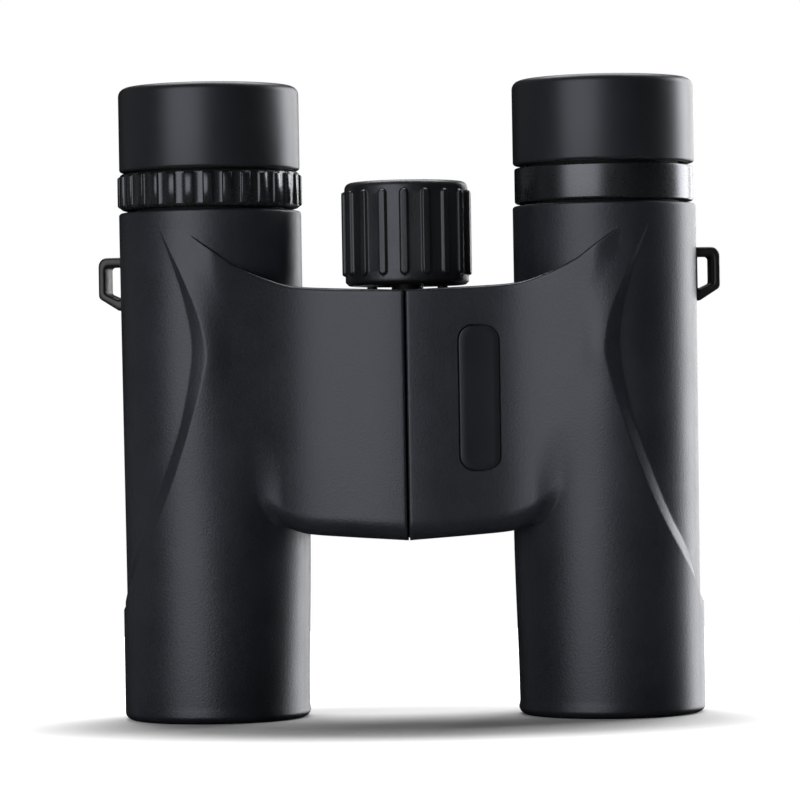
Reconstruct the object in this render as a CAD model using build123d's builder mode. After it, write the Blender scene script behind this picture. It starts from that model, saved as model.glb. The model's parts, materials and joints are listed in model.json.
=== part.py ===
from build123d import *
import os
from math import cos, pi, radians, sin, tan

# Compact roof-prism binoculars, opened out flat and standing on the objective rims.
# +Z runs from the objectives to the eyepieces, -Y is the top side in use, and -X is the user's
# right half. Each piece is one STEP file, and its file name is its node name.

os.makedirs("parts", exist_ok=True)

RIGHT = -1
LEFT = 1
SIDES = {"right": RIGHT, "left": LEFT}

# ---- driving dimensions: millimetres and degrees ----
EYE_SPACING = 72.0  # between the barrel axes, unfolded
AXIS_X = EYE_SPACING / 2
HINGE_Y = -2.0  # the hinge lies a little above the barrel axes, in use
FOLD_ANGLE = 70.0  # how far the left half folds about the hinge
RUNNING = 0.1  # radial gap between a sliding or turning piece and its bore
CLEARANCE = 0.3  # gap between the two halves
SNUG = 0.05  # radial gap between pieces fixed to each other

# armour and housing
ARMOUR_TOP = 92.0
ARMOUR_THICKNESS = 2.0
BARREL_RADIUS = 16.65
RIM_RADIUS = 16.95  # the barrel is a little wider below this height
RIM_HEIGHT = 20.5
SADDLE_RADIUS = 17.1  # barrel radius where the bridge runs into it
OBJECTIVE_BORE = 13.0
LIP_HEIGHT = 3.5  # rubber rim below the housing
HOUSING_TOP = 91.6
HOUSING_BORE = 12.9
OBJECTIVE_SEAT = 13.6  # wider bore for the objective cell
OBJECTIVE_SEAT_TOP = 15.0

# bridge section
BRIDGE_BOTTOM = 33.0
BRIDGE_TOP = 77.7
BRIDGE_BOTTOM_DROP = 0.9  # the bottom edge is lowest at the seam
BRIDGE_TOP_DIP = 0.5  # and so is the top edge
BRIDGE_CLIMB = 8.5  # the bottom edge climbs where the bridge runs onto the barrel
CLIMB_END = 7.0  # and ends its climb this far from the barrel's axis
VALLEY_RADIUS = 36.0  # hollow between barrel and bridge on the top side
VALLEY_ANGLE = 73.0
FRONT_SLOPE = 6.0
BACK_VALLEY_RADIUS = 9.0
BACK_VALLEY_ANGLE = 45.0
SEAM = CLEARANCE / 2
WEDGE_ANGLE = FOLD_ANGLE / 2 + 1.5  # cut away behind the hinge, on each side

# hinge stack, from the objective end
KNUCKLE_RADIUS = 8.0
KNUCKLE_SPACE = KNUCKLE_RADIUS + CLEARANCE
AXLE_RADIUS = 4.5
AXLE_BORE = 3.3
LOWER_KNUCKLE = (32.7, 46.2)
CHAMBER_BOTTOM = 36.0  # the lower knuckle is hollow above this, round the focusing spool
CHAMBER_RADIUS = 7.2
LEFT_KNUCKLE = (46.5, 67.7)
UPPER_KNUCKLE = (68.0, 76.2)
AXLE_ENDS = (33.5, 76.0)

# focusing mechanism
SPOOL_BOTTOM = 36.9
SPOOL_TOP = 41.9
GROOVE_BOTTOM = 38.3
GROOVE_TOP = 39.9
GROOVE_RADIUS = 5.2
SPOOL_RADIUS = 6.9
ARM_BOTTOM = 38.4
ARM_TOP = 39.8
ARM_WIDTH = 3.0
ARM_Y = -5.0
ARM_START = 5.4
ARM_WINDOW = (-42.0, 64.0)  # angles that the left arm sweeps through the lower knuckle
CHANNEL_BOTTOM = 37.5  # the arms travel inside this channel
CHANNEL_TOP = 43.2
CROSS_PIN_Z = 40.9
CROSS_PIN_RADIUS = 0.7
AXLE_SLOT = (39.3, 44.9)
FOCUS_CELL_BOTTOM = 33.5

# focus wheel
WHEEL_BOTTOM = 78.3
WHEEL_TOP = 97.1
WHEEL_RADIUS = 11.25
WHEEL_RIB_RADIUS = 11.85
WHEEL_CORE_RADIUS = 10.2
WHEEL_RIBS = 18
WHEEL_RIB_ENDS = (80.1, 95.4)
WHEEL_RIB_WIDTH = 1.47
HUB_RADIUS = 2.9
SCREW_RADIUS = 2.0
SCREW_X = 6.4  # of the two screws that hold the hinge's rear plate
SCREW_HEAD_RADIUS = 0.95
SCREW_SHANK_RADIUS = 0.6
SCREW_LENGTH = 4.0
PLATE_THICKNESS = 0.8

# eyepieces
TUBE_RADIUS = 13.6
TUBE_BORE = 11.3
TUBE_TOP = 110.6
COLLAR_ENDS = (92.5, 98.9)
DIOPTER_ENDS = (92.5, 99.1)
DIOPTER_RADIUS = 16.3
DIOPTER_RIB_RADIUS = 16.9
DIOPTER_RIBS = 30
DIOPTER_TURN = 35.0  # each way
DIOPTER_TRAVEL = 1.0  # of the right eyepiece, each way
DIOPTER_PIN_Z = 95.8
DIOPTER_PIN_RADIUS = 0.7
TUBE_BOTTOM = 81.6
OCULAR_RADIUS = 11.2
OCULAR_ENDS = (87.1, 106.6)
EYECUP_ENDS = (99.5, 115.3)
EYECUP_RADIUS = 16.5
EYECUP_CORE_RADIUS = 15.4
EYECUP_BORE = 14.5
EYECUP_OPENING = 11.0

# prisms: the light enters at PRISM_BASE, in a beam as wide as the prisms are deep
BEAM = 10.0
PRISM_BASE = 60.0
PRISM_GAP = 0.3
ROOF_PRISM_HEIGHT = 12.6
ROOF_PRISM_SIDE = 18.9
CAGE_ENDS = (58.2, 74.1)
CAGE_DISC = 1.2  # thickness of the cage's end discs

# strap lugs, turned a little towards the back
LUG_ANGLE = 12.0
LUG_WIDTH = 5.0
LUG_FOOT = 14.2
LUG_REACH = 21.0
LUG_ENDS = (74.7, 84.5)

# name plate on the left half
PLATE_CENTRE = (13.1, 57.7)
PLATE_SIZE = (7.2, 25.9)
PLATE_CORNER = 2.6
PLATE_DEPTH = 0.9
PLATE_GROOVE = 0.25

BIG = 200.0  # larger than the object, for cutting tools


def keep(piece, label):
    """Name a finished piece and write it."""
    piece.part.label = label
    export_step(piece.part, f"parts/{label}.step")


def barrel_axis(side):
    return Axis((side * AXIS_X, 0, 0), (0, 0, 1))


def barrel_section(side):
    """Plane through a barrel's axis: sketch x is the radius and sketch y is the height."""
    return Plane(origin=(side * AXIS_X, 0, 0), x_dir=(1, 0, 0), z_dir=(0, -1, 0))


def barrel_plane(side, height):
    return Plane(origin=(side * AXIS_X, 0, height), z_dir=(0, 0, 1))


def hinge_plane(height):
    return Plane(origin=(0, HINGE_Y, height), z_dir=(0, 0, 1))


def hinge_section():
    """Plane through the hinge's axis: sketch x is the radius and sketch y is the height."""
    return Plane(origin=(0, HINGE_Y, 0), x_dir=(1, 0, 0), z_dir=(0, -1, 0))


def lathe(plane, outline):
    """Solid of revolution about the plane's own y direction."""
    with BuildPart() as turned:
        with BuildSketch(plane):
            Polygon(*outline, align=None)
        revolve(axis=Axis(plane.origin, plane.y_dir))
    return turned


def half_section(side, inset, height):
    """Outline of one half at bridge height, drawn inset from the outer surface."""
    barrel = Vector(AXIS_X, 0)
    barrel_radius = SADDLE_RADIUS - inset
    valley_radius = VALLEY_RADIUS + inset
    back_radius = BACK_VALLEY_RADIUS + inset
    to_valley = radians(180 + VALLEY_ANGLE)
    to_back = radians(180 - BACK_VALLEY_ANGLE)
    reach = SADDLE_RADIUS + VALLEY_RADIUS
    valley = barrel + Vector(cos(to_valley), sin(to_valley)) * reach
    back = barrel + Vector(cos(to_back), sin(to_back)) * (SADDLE_RADIUS + BACK_VALLEY_RADIUS)

    def on_circle(centre, radius, angle):
        point = centre + Vector(cos(radians(angle)), sin(radians(angle))) * radius
        return (side * point.X, point.Y)

    slope_start = on_circle(valley, valley_radius, 90 + FRONT_SLOPE)
    valley_middle = on_circle(valley, valley_radius, (90 + FRONT_SLOPE + VALLEY_ANGLE) / 2)
    valley_end = on_circle(valley, valley_radius, VALLEY_ANGLE)
    outside = (side * (AXIS_X + barrel_radius), 0)
    back_start = on_circle(back, back_radius, -BACK_VALLEY_ANGLE)
    back_middle = on_circle(back, back_radius, (-90 - BACK_VALLEY_ANGLE) / 2)
    back_end = on_circle(back, back_radius, -90)
    run_to_seam = abs(slope_start[0]) - SEAM
    front_seam = (side * SEAM, slope_start[1] - run_to_seam * tan(radians(FRONT_SLOPE)))
    back_seam = (side * SEAM, back_end[1])

    with BuildSketch(Plane.XY.offset(height)) as section:
        with BuildLine():
            Line(front_seam, slope_start)
            ThreePointArc(slope_start, valley_middle, valley_end)
            ThreePointArc(valley_end, outside, back_start)
            ThreePointArc(back_start, back_middle, back_end)
            Line(back_end, back_seam)
            Line(back_seam, front_seam)
        make_face()
    return section.sketch


def bridge_block(side, inset):
    """One half of the bridge with the barrel beside it, its ends sloping towards the seam."""
    bottom = BRIDGE_BOTTOM + inset
    top = BRIDGE_TOP - inset
    edge_x = side * (AXIS_X - BARREL_RADIUS)
    seam_x = side * SEAM
    climb_x = side * (AXIS_X - CLIMB_END)
    far_x = side * (AXIS_X + BARREL_RADIUS + ARMOUR_THICKNESS)
    lowest = bottom - BRIDGE_BOTTOM_DROP
    with BuildPart() as block:
        extrude(half_section(side, inset, lowest), amount=top - lowest)
        with BuildSketch(Plane.XZ):
            Polygon((seam_x, lowest), (edge_x, bottom), (climb_x, bottom + BRIDGE_CLIMB),
                    (far_x, bottom + BRIDGE_CLIMB), (far_x, top), (edge_x, top),
                    (seam_x, top - BRIDGE_TOP_DIP), align=None)
        extrude(amount=BIG / 2, both=True, mode=Mode.INTERSECT)
    return block.part


def fold_wedge(side):
    """Space behind the hinge that the other half folds into."""
    corner = BIG * tan(radians(WEDGE_ANGLE))
    with BuildPart() as wedge:
        with BuildSketch(hinge_plane(0)):
            Polygon((0, 0), (side * corner, BIG), (-side * corner, BIG), align=None)
        extrude(amount=BIG)
    return wedge.part


def lug_plane(side):
    """Plane through a barrel's axis and its strap lug: sketch x is the radius, y the height."""
    outward = Vector(side * cos(radians(LUG_ANGLE)), sin(radians(LUG_ANGLE)), 0)
    return Plane(origin=(side * AXIS_X, 0, 0), x_dir=outward, z_dir=(outward.Y, -outward.X, 0))


def lug_socket(side):
    """Space that the foot of the strap lug fills in the armour and the housing."""
    bottom, top = LUG_ENDS
    with BuildPart() as socket:
        with BuildSketch(lug_plane(side)):
            Polygon((LUG_FOOT, bottom), (LUG_REACH, bottom), (LUG_REACH, top), (LUG_FOOT, top),
                    align=None)
        extrude(amount=LUG_WIDTH / 2, both=True)
    return socket.part


def pill(margin):
    """Prism along Y with the name plate's outline, grown by a margin."""
    width, height = PLATE_SIZE
    with BuildPart() as prism:
        with BuildSketch(Plane.XZ):
            with Locations(PLATE_CENTRE):
                RectangleRounded(width + 2 * margin, height + 2 * margin, PLATE_CORNER + margin)
        extrude(amount=AXIS_X)
    return prism.part


# ---- armour: the rubber skin of one half ----
def make_armour(name, side):
    edge = 0.6  # rounding of the barrel's two ends
    with BuildPart() as armour:
        with BuildSketch(barrel_section(side)):
            Polygon((0, 0), (RIM_RADIUS - edge, 0), (RIM_RADIUS, edge), (RIM_RADIUS, RIM_HEIGHT),
                    (BARREL_RADIUS, RIM_HEIGHT + 3), (BARREL_RADIUS, ARMOUR_TOP - edge),
                    (BARREL_RADIUS - edge, ARMOUR_TOP), (0, ARMOUR_TOP), align=None)
        revolve(axis=barrel_axis(side))
        add(bridge_block(side, 0))
        add(bridge_block(side, ARMOUR_THICKNESS), mode=Mode.SUBTRACT)
        with BuildSketch(barrel_plane(side, LIP_HEIGHT)):
            Circle(SADDLE_RADIUS - ARMOUR_THICKNESS)
        extrude(amount=HOUSING_TOP - LIP_HEIGHT, mode=Mode.SUBTRACT)
        with BuildSketch(barrel_plane(side, 0)):
            Circle(OBJECTIVE_BORE)
        extrude(amount=LIP_HEIGHT, mode=Mode.SUBTRACT)
        with BuildSketch(barrel_plane(side, HOUSING_TOP)):
            Circle(TUBE_RADIUS + SNUG)
        extrude(amount=LIP_HEIGHT, mode=Mode.SUBTRACT)
        with BuildSketch(hinge_plane(0)):
            Circle(KNUCKLE_SPACE)
        extrude(amount=BIG, mode=Mode.SUBTRACT)
        add(fold_wedge(side), mode=Mode.SUBTRACT)
        add(lug_socket(side), mode=Mode.SUBTRACT)
        if side == LEFT:
            add(plate_blank(PLATE_GROOVE), mode=Mode.SUBTRACT)
    keep(armour, f"{name}_armour")


# ---- name plate: follows the surface of the left half ----
def plate_blank(margin):
    with BuildPart() as blank:
        add(pill(margin))
        add(bridge_block(LEFT, 0), mode=Mode.INTERSECT)
        add(bridge_block(LEFT, PLATE_DEPTH), mode=Mode.SUBTRACT)
    return blank.part


def make_name_plate():
    with BuildPart() as plate:
        add(plate_blank(0))
    keep(plate, "name_plate")


# ---- housing: the stiff half under the armour, with its hinge knuckles ----
def window_corners():
    """Corners of a wedge about the hinge that reaches past the knuckle."""
    start, end = ARM_WINDOW
    reach = 2 * KNUCKLE_RADIUS
    angles = [radians(start), radians((start + end) / 2), radians(end)]
    return [(reach * cos(angle), reach * sin(angle)) for angle in angles]


def make_housing(name, side):
    radius = SADDLE_RADIUS - ARMOUR_THICKNESS
    if side == RIGHT:
        knuckles = [LOWER_KNUCKLE, UPPER_KNUCKLE]
        spaces = [(LOWER_KNUCKLE[1], UPPER_KNUCKLE[0])]
        knuckle_bore = AXLE_RADIUS + SNUG
    else:
        knuckles = [LEFT_KNUCKLE]
        spaces = [(0, LEFT_KNUCKLE[0]), (LEFT_KNUCKLE[1], HOUSING_TOP)]
        knuckle_bore = AXLE_RADIUS + RUNNING
    with BuildPart() as housing:
        with BuildSketch(barrel_plane(side, LIP_HEIGHT)):
            Circle(radius)
        extrude(amount=HOUSING_TOP - LIP_HEIGHT)
        add(bridge_block(side, ARMOUR_THICKNESS))
        add(fold_wedge(side), mode=Mode.SUBTRACT)
        for bottom, top in spaces:
            with BuildSketch(hinge_plane(bottom)):
                Circle(KNUCKLE_SPACE)
            extrude(amount=top - bottom, mode=Mode.SUBTRACT)
        for bottom, top in knuckles:
            with BuildSketch(hinge_plane(bottom)):
                Circle(KNUCKLE_RADIUS)
            extrude(amount=top - bottom)
        with BuildSketch(hinge_plane(0)):
            Circle(knuckle_bore)
        extrude(amount=BIG, mode=Mode.SUBTRACT)
        if side == RIGHT:
            with BuildSketch(hinge_plane(CHAMBER_BOTTOM)):
                Circle(CHAMBER_RADIUS)
            extrude(amount=LOWER_KNUCKLE[1] - CHAMBER_BOTTOM, mode=Mode.SUBTRACT)
            with BuildSketch(hinge_plane(CHANNEL_BOTTOM)):
                Polygon((0, 0), *window_corners(), align=None)
            extrude(amount=CHANNEL_TOP - CHANNEL_BOTTOM, mode=Mode.SUBTRACT)
        # bore, objective seat and the channel for the focusing arm
        with BuildSketch(barrel_plane(side, LIP_HEIGHT)):
            Circle(HOUSING_BORE)
        extrude(amount=HOUSING_TOP - LIP_HEIGHT, mode=Mode.SUBTRACT)
        with BuildSketch(barrel_plane(side, LIP_HEIGHT)):
            Circle(OBJECTIVE_SEAT)
        extrude(amount=OBJECTIVE_SEAT_TOP - LIP_HEIGHT, mode=Mode.SUBTRACT)
        with BuildSketch(Plane.XY.offset(CHANNEL_BOTTOM)):
            with Locations((side * AXIS_X / 2, ARM_Y)):
                Rectangle(AXIS_X - GROOVE_RADIUS, ARM_WIDTH + 3 * CLEARANCE)
        extrude(amount=CHANNEL_TOP - CHANNEL_BOTTOM, mode=Mode.SUBTRACT)
        if side == RIGHT:
            with BuildSketch(hinge_plane(UPPER_KNUCKLE[1])):
                with Locations((-SCREW_X, 0), (SCREW_X, 0)):
                    Circle(SCREW_SHANK_RADIUS + SNUG)
            extrude(amount=-SCREW_LENGTH, mode=Mode.SUBTRACT)
        add(lug_socket(side), mode=Mode.SUBTRACT)
    keep(housing, f"{name}_housing")


# ---- strap lug: a closed loop whose foot sits in the housing ----
def make_strap_lug(name, side):
    bottom, top = LUG_ENDS
    skin = BARREL_RADIUS + 0.6
    bar = 1.3
    with BuildPart() as lug:
        with BuildSketch(lug_plane(side)):
            Polygon((LUG_FOOT, bottom), (skin, bottom), (LUG_REACH, bottom + 2.4),
                    (LUG_REACH, top - 1.5), (LUG_REACH - 1.5, top), (LUG_FOOT, top), align=None)
            Polygon((skin, bottom + 2.0), (LUG_REACH - bar, bottom + 3.2),
                    (LUG_REACH - bar, top - 2.2), (LUG_REACH - bar - 0.5, top - 1.7),
                    (skin, top - 1.7), align=None, mode=Mode.SUBTRACT)
        extrude(amount=LUG_WIDTH / 2, both=True)
    keep(lug, f"{name}_strap_lug")


# ---- lenses ----
def lens(side, radius, ends, bulges):
    """Round lens between two edge heights. A bulge is how far its middle stands above its edge."""
    bottom, top = ends
    bottom_middle = (0, bottom + bulges[0])
    top_middle = (0, top + bulges[1])
    with BuildPart() as glass:
        with BuildSketch(barrel_section(side)):
            with BuildLine():
                Line(bottom_middle, top_middle)
                TangentArc(top_middle, (radius, top), tangent=(1, 0))
                Line((radius, top), (radius, bottom))
                TangentArc(bottom_middle, (radius, bottom), tangent=(1, 0))
            make_face()
        revolve(axis=barrel_axis(side))
    return glass


# ---- objective: two cemented lenses in a cell, held by a threaded ring ----
def make_objective(name, side):
    seat = OBJECTIVE_SEAT - RUNNING
    glass = 12.35
    stop = 11.6
    bottom = LIP_HEIGHT + RUNNING
    ring_bottom = bottom + 0.3
    ring_top = ring_bottom + 1.5
    crown_bottom = ring_top
    joint = crown_bottom + 3.6
    flint_top = joint + 3.0
    shoulder = flint_top + SNUG
    cell_top = flint_top + 2.0
    cell = lathe(barrel_section(side), [
        (seat, bottom), (seat, cell_top), (stop, cell_top), (stop, shoulder),
        (glass + SNUG, shoulder), (glass + SNUG, bottom)])
    keep(cell, f"{name}_objective_cell")
    ring = lathe(barrel_section(side), [
        (glass, ring_bottom), (glass, ring_top), (stop, ring_top - 0.2), (stop, ring_bottom + 0.9),
        (stop + 0.5, ring_bottom)])
    keep(ring, f"{name}_objective_retaining_ring")
    crown = lens(side, glass, (crown_bottom, joint), (-1.1, 1.5))
    keep(crown, f"{name}_objective_crown_lens")
    flint = lens(side, glass, (joint, flint_top), (1.5, 0.2))
    keep(flint, f"{name}_objective_flint_lens")


# ---- focusing lens: a sliding cell whose arm reaches the spool in the hinge ----
def make_focus_cell(name, side):
    cell_bore = 11.3
    arm_end = AXIS_X - cell_bore
    with BuildPart() as cell:
        with BuildSketch(barrel_plane(side, FOCUS_CELL_BOTTOM)):
            Circle(HOUSING_BORE - RUNNING)
        extrude(amount=ARM_TOP - FOCUS_CELL_BOTTOM)
        with BuildSketch(Plane.XY.offset(ARM_BOTTOM)):
            with Locations((side * (ARM_START + arm_end) / 2, ARM_Y)):
                Rectangle(arm_end - ARM_START, ARM_WIDTH)
        extrude(amount=ARM_TOP - ARM_BOTTOM)
        with BuildSketch(barrel_plane(side, FOCUS_CELL_BOTTOM)):
            Circle(cell_bore)
        extrude(amount=ARM_TOP - FOCUS_CELL_BOTTOM, mode=Mode.SUBTRACT)
    keep(cell, f"{name}_focus_cell")
    glass = lens(side, cell_bore - SNUG, (FOCUS_CELL_BOTTOM + 1.2, FOCUS_CELL_BOTTOM + 4.6), (1.0, -0.8))
    keep(glass, f"{name}_focus_lens")


# ---- prisms: an entrance prism and a roof prism in a cage, held by a leaf spring ----
def prism_plane(side):
    """Sketch x runs across the prisms, away from the hinge, and sketch y up from their base."""
    return Plane(origin=(side * AXIS_X, 0, PRISM_BASE), x_dir=(side, 0, 0), z_dir=(0, -side, 0))


def make_prisms(name, side):
    half = BEAM / 2
    plane = prism_plane(side)
    height = 2.5 * half
    mirror_angle = radians(22.5)
    with BuildPart() as entrance:
        with BuildSketch(plane):
            Polygon((-half, 0), (half, 0), (half + height * tan(mirror_angle), height),
                    (height - half, height), align=None)
        extrude(amount=half, both=True)
    keep(entrance, f"{name}_entrance_prism")

    shift = PRISM_GAP * cos(pi / 4)
    apex = (ROOF_PRISM_HEIGHT - half - shift, ROOF_PRISM_HEIGHT + shift)
    slant = ROOF_PRISM_SIDE * cos(pi / 4)
    ridge_top = (apex[0] - ROOF_PRISM_SIDE, apex[1])
    ridge_bottom = (apex[0] - slant, apex[1] - slant)
    ridge = plane.from_local_coords(ridge_top)
    outward = Vector(-side * cos(mirror_angle), 0, -sin(mirror_angle))
    with BuildPart() as roof:
        with BuildSketch(plane):
            Polygon(apex, ridge_top, ridge_bottom, align=None)
        extrude(amount=half, both=True)
        for across in (-1, 1):
            split(bisect_by=Plane(origin=ridge, z_dir=outward + Vector(0, across, 0)),
                  keep=Keep.BOTTOM)
    keep(roof, f"{name}_roof_prism")

    bottom, top = CAGE_ENDS
    with BuildPart() as cage:
        with BuildSketch(barrel_plane(side, bottom)):
            Circle(HOUSING_BORE - RUNNING)
            Circle(half + CLEARANCE, mode=Mode.SUBTRACT)
        extrude(amount=top - bottom)
        with BuildSketch(barrel_plane(side, bottom + CAGE_DISC)):
            Rectangle(2 * HOUSING_BORE, BEAM + 2 * RUNNING)
        extrude(amount=top - bottom - 2 * CAGE_DISC, mode=Mode.SUBTRACT)
    keep(cage, f"{name}_prism_cage")

    leaf_inside = half + height * tan(mirror_angle) + SNUG
    leaf_bottom = bottom + CAGE_DISC - PRISM_BASE
    leaf_top = top - CAGE_DISC - PRISM_BASE
    with BuildPart() as clip:
        with BuildSketch(plane):
            Polygon((leaf_inside, leaf_bottom), (leaf_inside + 0.6, leaf_bottom),
                    (leaf_inside + 0.6, leaf_top), (leaf_inside, leaf_top), align=None)
        extrude(amount=half - 1, both=True)
    keep(clip, f"{name}_prism_clip")


# ---- eyepiece: fixed guide tube, field stop, and the cell that holds the lenses ----
def make_eyepiece(name, side):
    flange = HOUSING_BORE - SNUG
    with BuildPart() as guide:
        with BuildSketch(barrel_section(side)):
            Polygon((TUBE_BORE, TUBE_BOTTOM), (flange, TUBE_BOTTOM), (flange, HOUSING_TOP),
                    (TUBE_RADIUS, HOUSING_TOP), (TUBE_RADIUS, TUBE_TOP - 0.6),
                    (TUBE_RADIUS - 0.6, TUBE_TOP), (TUBE_BORE, TUBE_TOP), align=None)
        revolve(axis=barrel_axis(side))
        if side == RIGHT:
            slot_height = 2 * (DIOPTER_TRAVEL + DIOPTER_PIN_RADIUS + CLEARANCE)
            slot_plane = Plane(origin=(side * AXIS_X, 0, DIOPTER_PIN_Z), x_dir=(0, 0, 1), z_dir=(0, 1, 0))
            with BuildSketch(slot_plane):
                SlotOverall(slot_height, 2 * (DIOPTER_PIN_RADIUS + RUNNING))
            extrude(amount=DIOPTER_RADIUS, mode=Mode.SUBTRACT)
    keep(guide, f"{name}_eyepiece_tube")
    stop = lathe(barrel_section(side), [
        (7.0, TUBE_BOTTOM + 1.2), (TUBE_BORE - SNUG, TUBE_BOTTOM + 0.4),
        (TUBE_BORE - SNUG, TUBE_BOTTOM + 2.4), (7.4, TUBE_BOTTOM + 1.7)])
    keep(stop, f"{name}_field_stop")

    bottom, top = OCULAR_ENDS
    glass = 9.55
    seat = glass + SNUG
    shoulder = 8.6
    relief = 0.25  # the shoulders slope back from the lenses' curved faces
    field_bottom = bottom + 1.0
    field_top = field_bottom + 3.2
    eye_bottom = top - 4.6
    eye_top = top - 1.2
    cell = lathe(barrel_section(side), [
        (OCULAR_RADIUS, bottom), (OCULAR_RADIUS, top), (seat, top), (seat, eye_bottom),
        (shoulder, eye_bottom - relief), (shoulder, field_top + relief), (seat, field_top),
        (seat, bottom)])
    keep(cell, f"{name}_ocular_cell")
    field_lens = lens(side, glass, (field_bottom, field_top), (-0.8, 1.0))
    keep(field_lens, f"{name}_field_lens")
    eye_lens = lens(side, glass, (eye_bottom, eye_top), (-0.7, 1.0))
    keep(eye_lens, f"{name}_eye_lens")
    ring = lathe(barrel_section(side), [
        (shoulder, eye_top + relief), (glass, eye_top), (glass, top - 0.1), (9.1, top - 0.1)])
    keep(ring, f"{name}_ocular_retaining_ring")


# ---- eyecup: a slip ring slides on the guide tube, and the cup turns on the slip ring ----
def make_eyecup(name, side):
    bottom, top = EYECUP_ENDS
    flange = 1.5
    rounding = 1.2
    slip = lathe(barrel_section(side), [
        (TUBE_RADIUS + RUNNING, bottom + 1), (EYECUP_BORE - RUNNING, bottom + 1),
        (EYECUP_BORE - RUNNING, TUBE_TOP - 2), (TUBE_RADIUS + RUNNING, TUBE_TOP - 2)])
    keep(slip, f"{name}_slip_ring")
    core_top = top - 1.0
    core = lathe(barrel_section(side), [
        (EYECUP_BORE, bottom + 0.3), (EYECUP_CORE_RADIUS, bottom + 0.3), (EYECUP_CORE_RADIUS, core_top),
        (EYECUP_OPENING + 0.6, core_top), (EYECUP_OPENING + 0.6, core_top - flange),
        (EYECUP_BORE, core_top - flange)])
    keep(core, f"{name}_eyecup_core")
    inside = EYECUP_CORE_RADIUS
    with BuildPart() as rubber:
        with BuildSketch(barrel_section(side)):
            with BuildLine():
                Polyline((inside, core_top), (inside, bottom), (EYECUP_RADIUS, bottom),
                         (EYECUP_RADIUS, top - rounding))
                RadiusArc((EYECUP_RADIUS, top - rounding), (EYECUP_RADIUS - rounding, top), -rounding)
                Polyline((EYECUP_RADIUS - rounding, top), (EYECUP_OPENING + 1.2, top),
                         (EYECUP_OPENING, top - 0.4), (EYECUP_OPENING, core_top), (inside, core_top))
            make_face()
        revolve(axis=barrel_axis(side))
    keep(rubber, f"{name}_eyecup_rubber")


# ---- diopter adjustment on the right half, plain collar on the left ----
def make_diopter():
    bottom, top = DIOPTER_ENDS
    rib_edge = 0.4
    rib_width = 1.75
    groove_reach = 15.4
    groove_radius = DIOPTER_PIN_RADIUS + 0.15
    step = 2.5
    first_rib = -98.0
    with BuildPart() as ring:
        with BuildSketch(barrel_plane(RIGHT, bottom)):
            Circle(DIOPTER_RADIUS)
        extrude(amount=top - bottom)
        with BuildSketch(barrel_plane(RIGHT, bottom + rib_edge)):
            with PolarLocations(DIOPTER_RADIUS, DIOPTER_RIBS, start_angle=first_rib):
                Rectangle(2 * (DIOPTER_RIB_RADIUS - DIOPTER_RADIUS), rib_width)
        extrude(amount=top - bottom - 2 * rib_edge)
        with BuildSketch(barrel_plane(RIGHT, bottom)):
            Circle(TUBE_RADIUS + RUNNING)
        extrude(amount=top - bottom, mode=Mode.SUBTRACT)
        # helical groove for the drive pin, which stands towards +Y
        steps = int(DIOPTER_TURN / step) + 1
        for index in range(-steps, steps + 1):
            turn = index * step
            facing = radians(90 - turn)
            height = DIOPTER_PIN_Z + DIOPTER_TRAVEL * turn / DIOPTER_TURN
            outward = Vector(cos(facing), sin(facing), 0)
            with BuildSketch(Plane(origin=(RIGHT * AXIS_X, 0, height), z_dir=outward)):
                Circle(groove_radius)
        extrude(amount=groove_reach, mode=Mode.SUBTRACT)
    keep(ring, "diopter_ring")
    with BuildPart() as pin:
        with BuildSketch(Plane(origin=(RIGHT * AXIS_X, OCULAR_RADIUS, DIOPTER_PIN_Z), z_dir=(0, 1, 0))):
            Circle(DIOPTER_PIN_RADIUS)
        extrude(amount=groove_reach - CLEARANCE - OCULAR_RADIUS)
    keep(pin, "diopter_pin")


def make_collar():
    bottom, top = COLLAR_ENDS
    outer = 16.25
    inner = TUBE_RADIUS + SNUG
    edge = 0.5
    collar = lathe(barrel_section(LEFT), [
        (inner, bottom), (outer - edge, bottom), (outer, bottom + edge), (outer, top - edge),
        (outer - edge, top), (inner, top)])
    keep(collar, "left_collar_ring")


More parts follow.
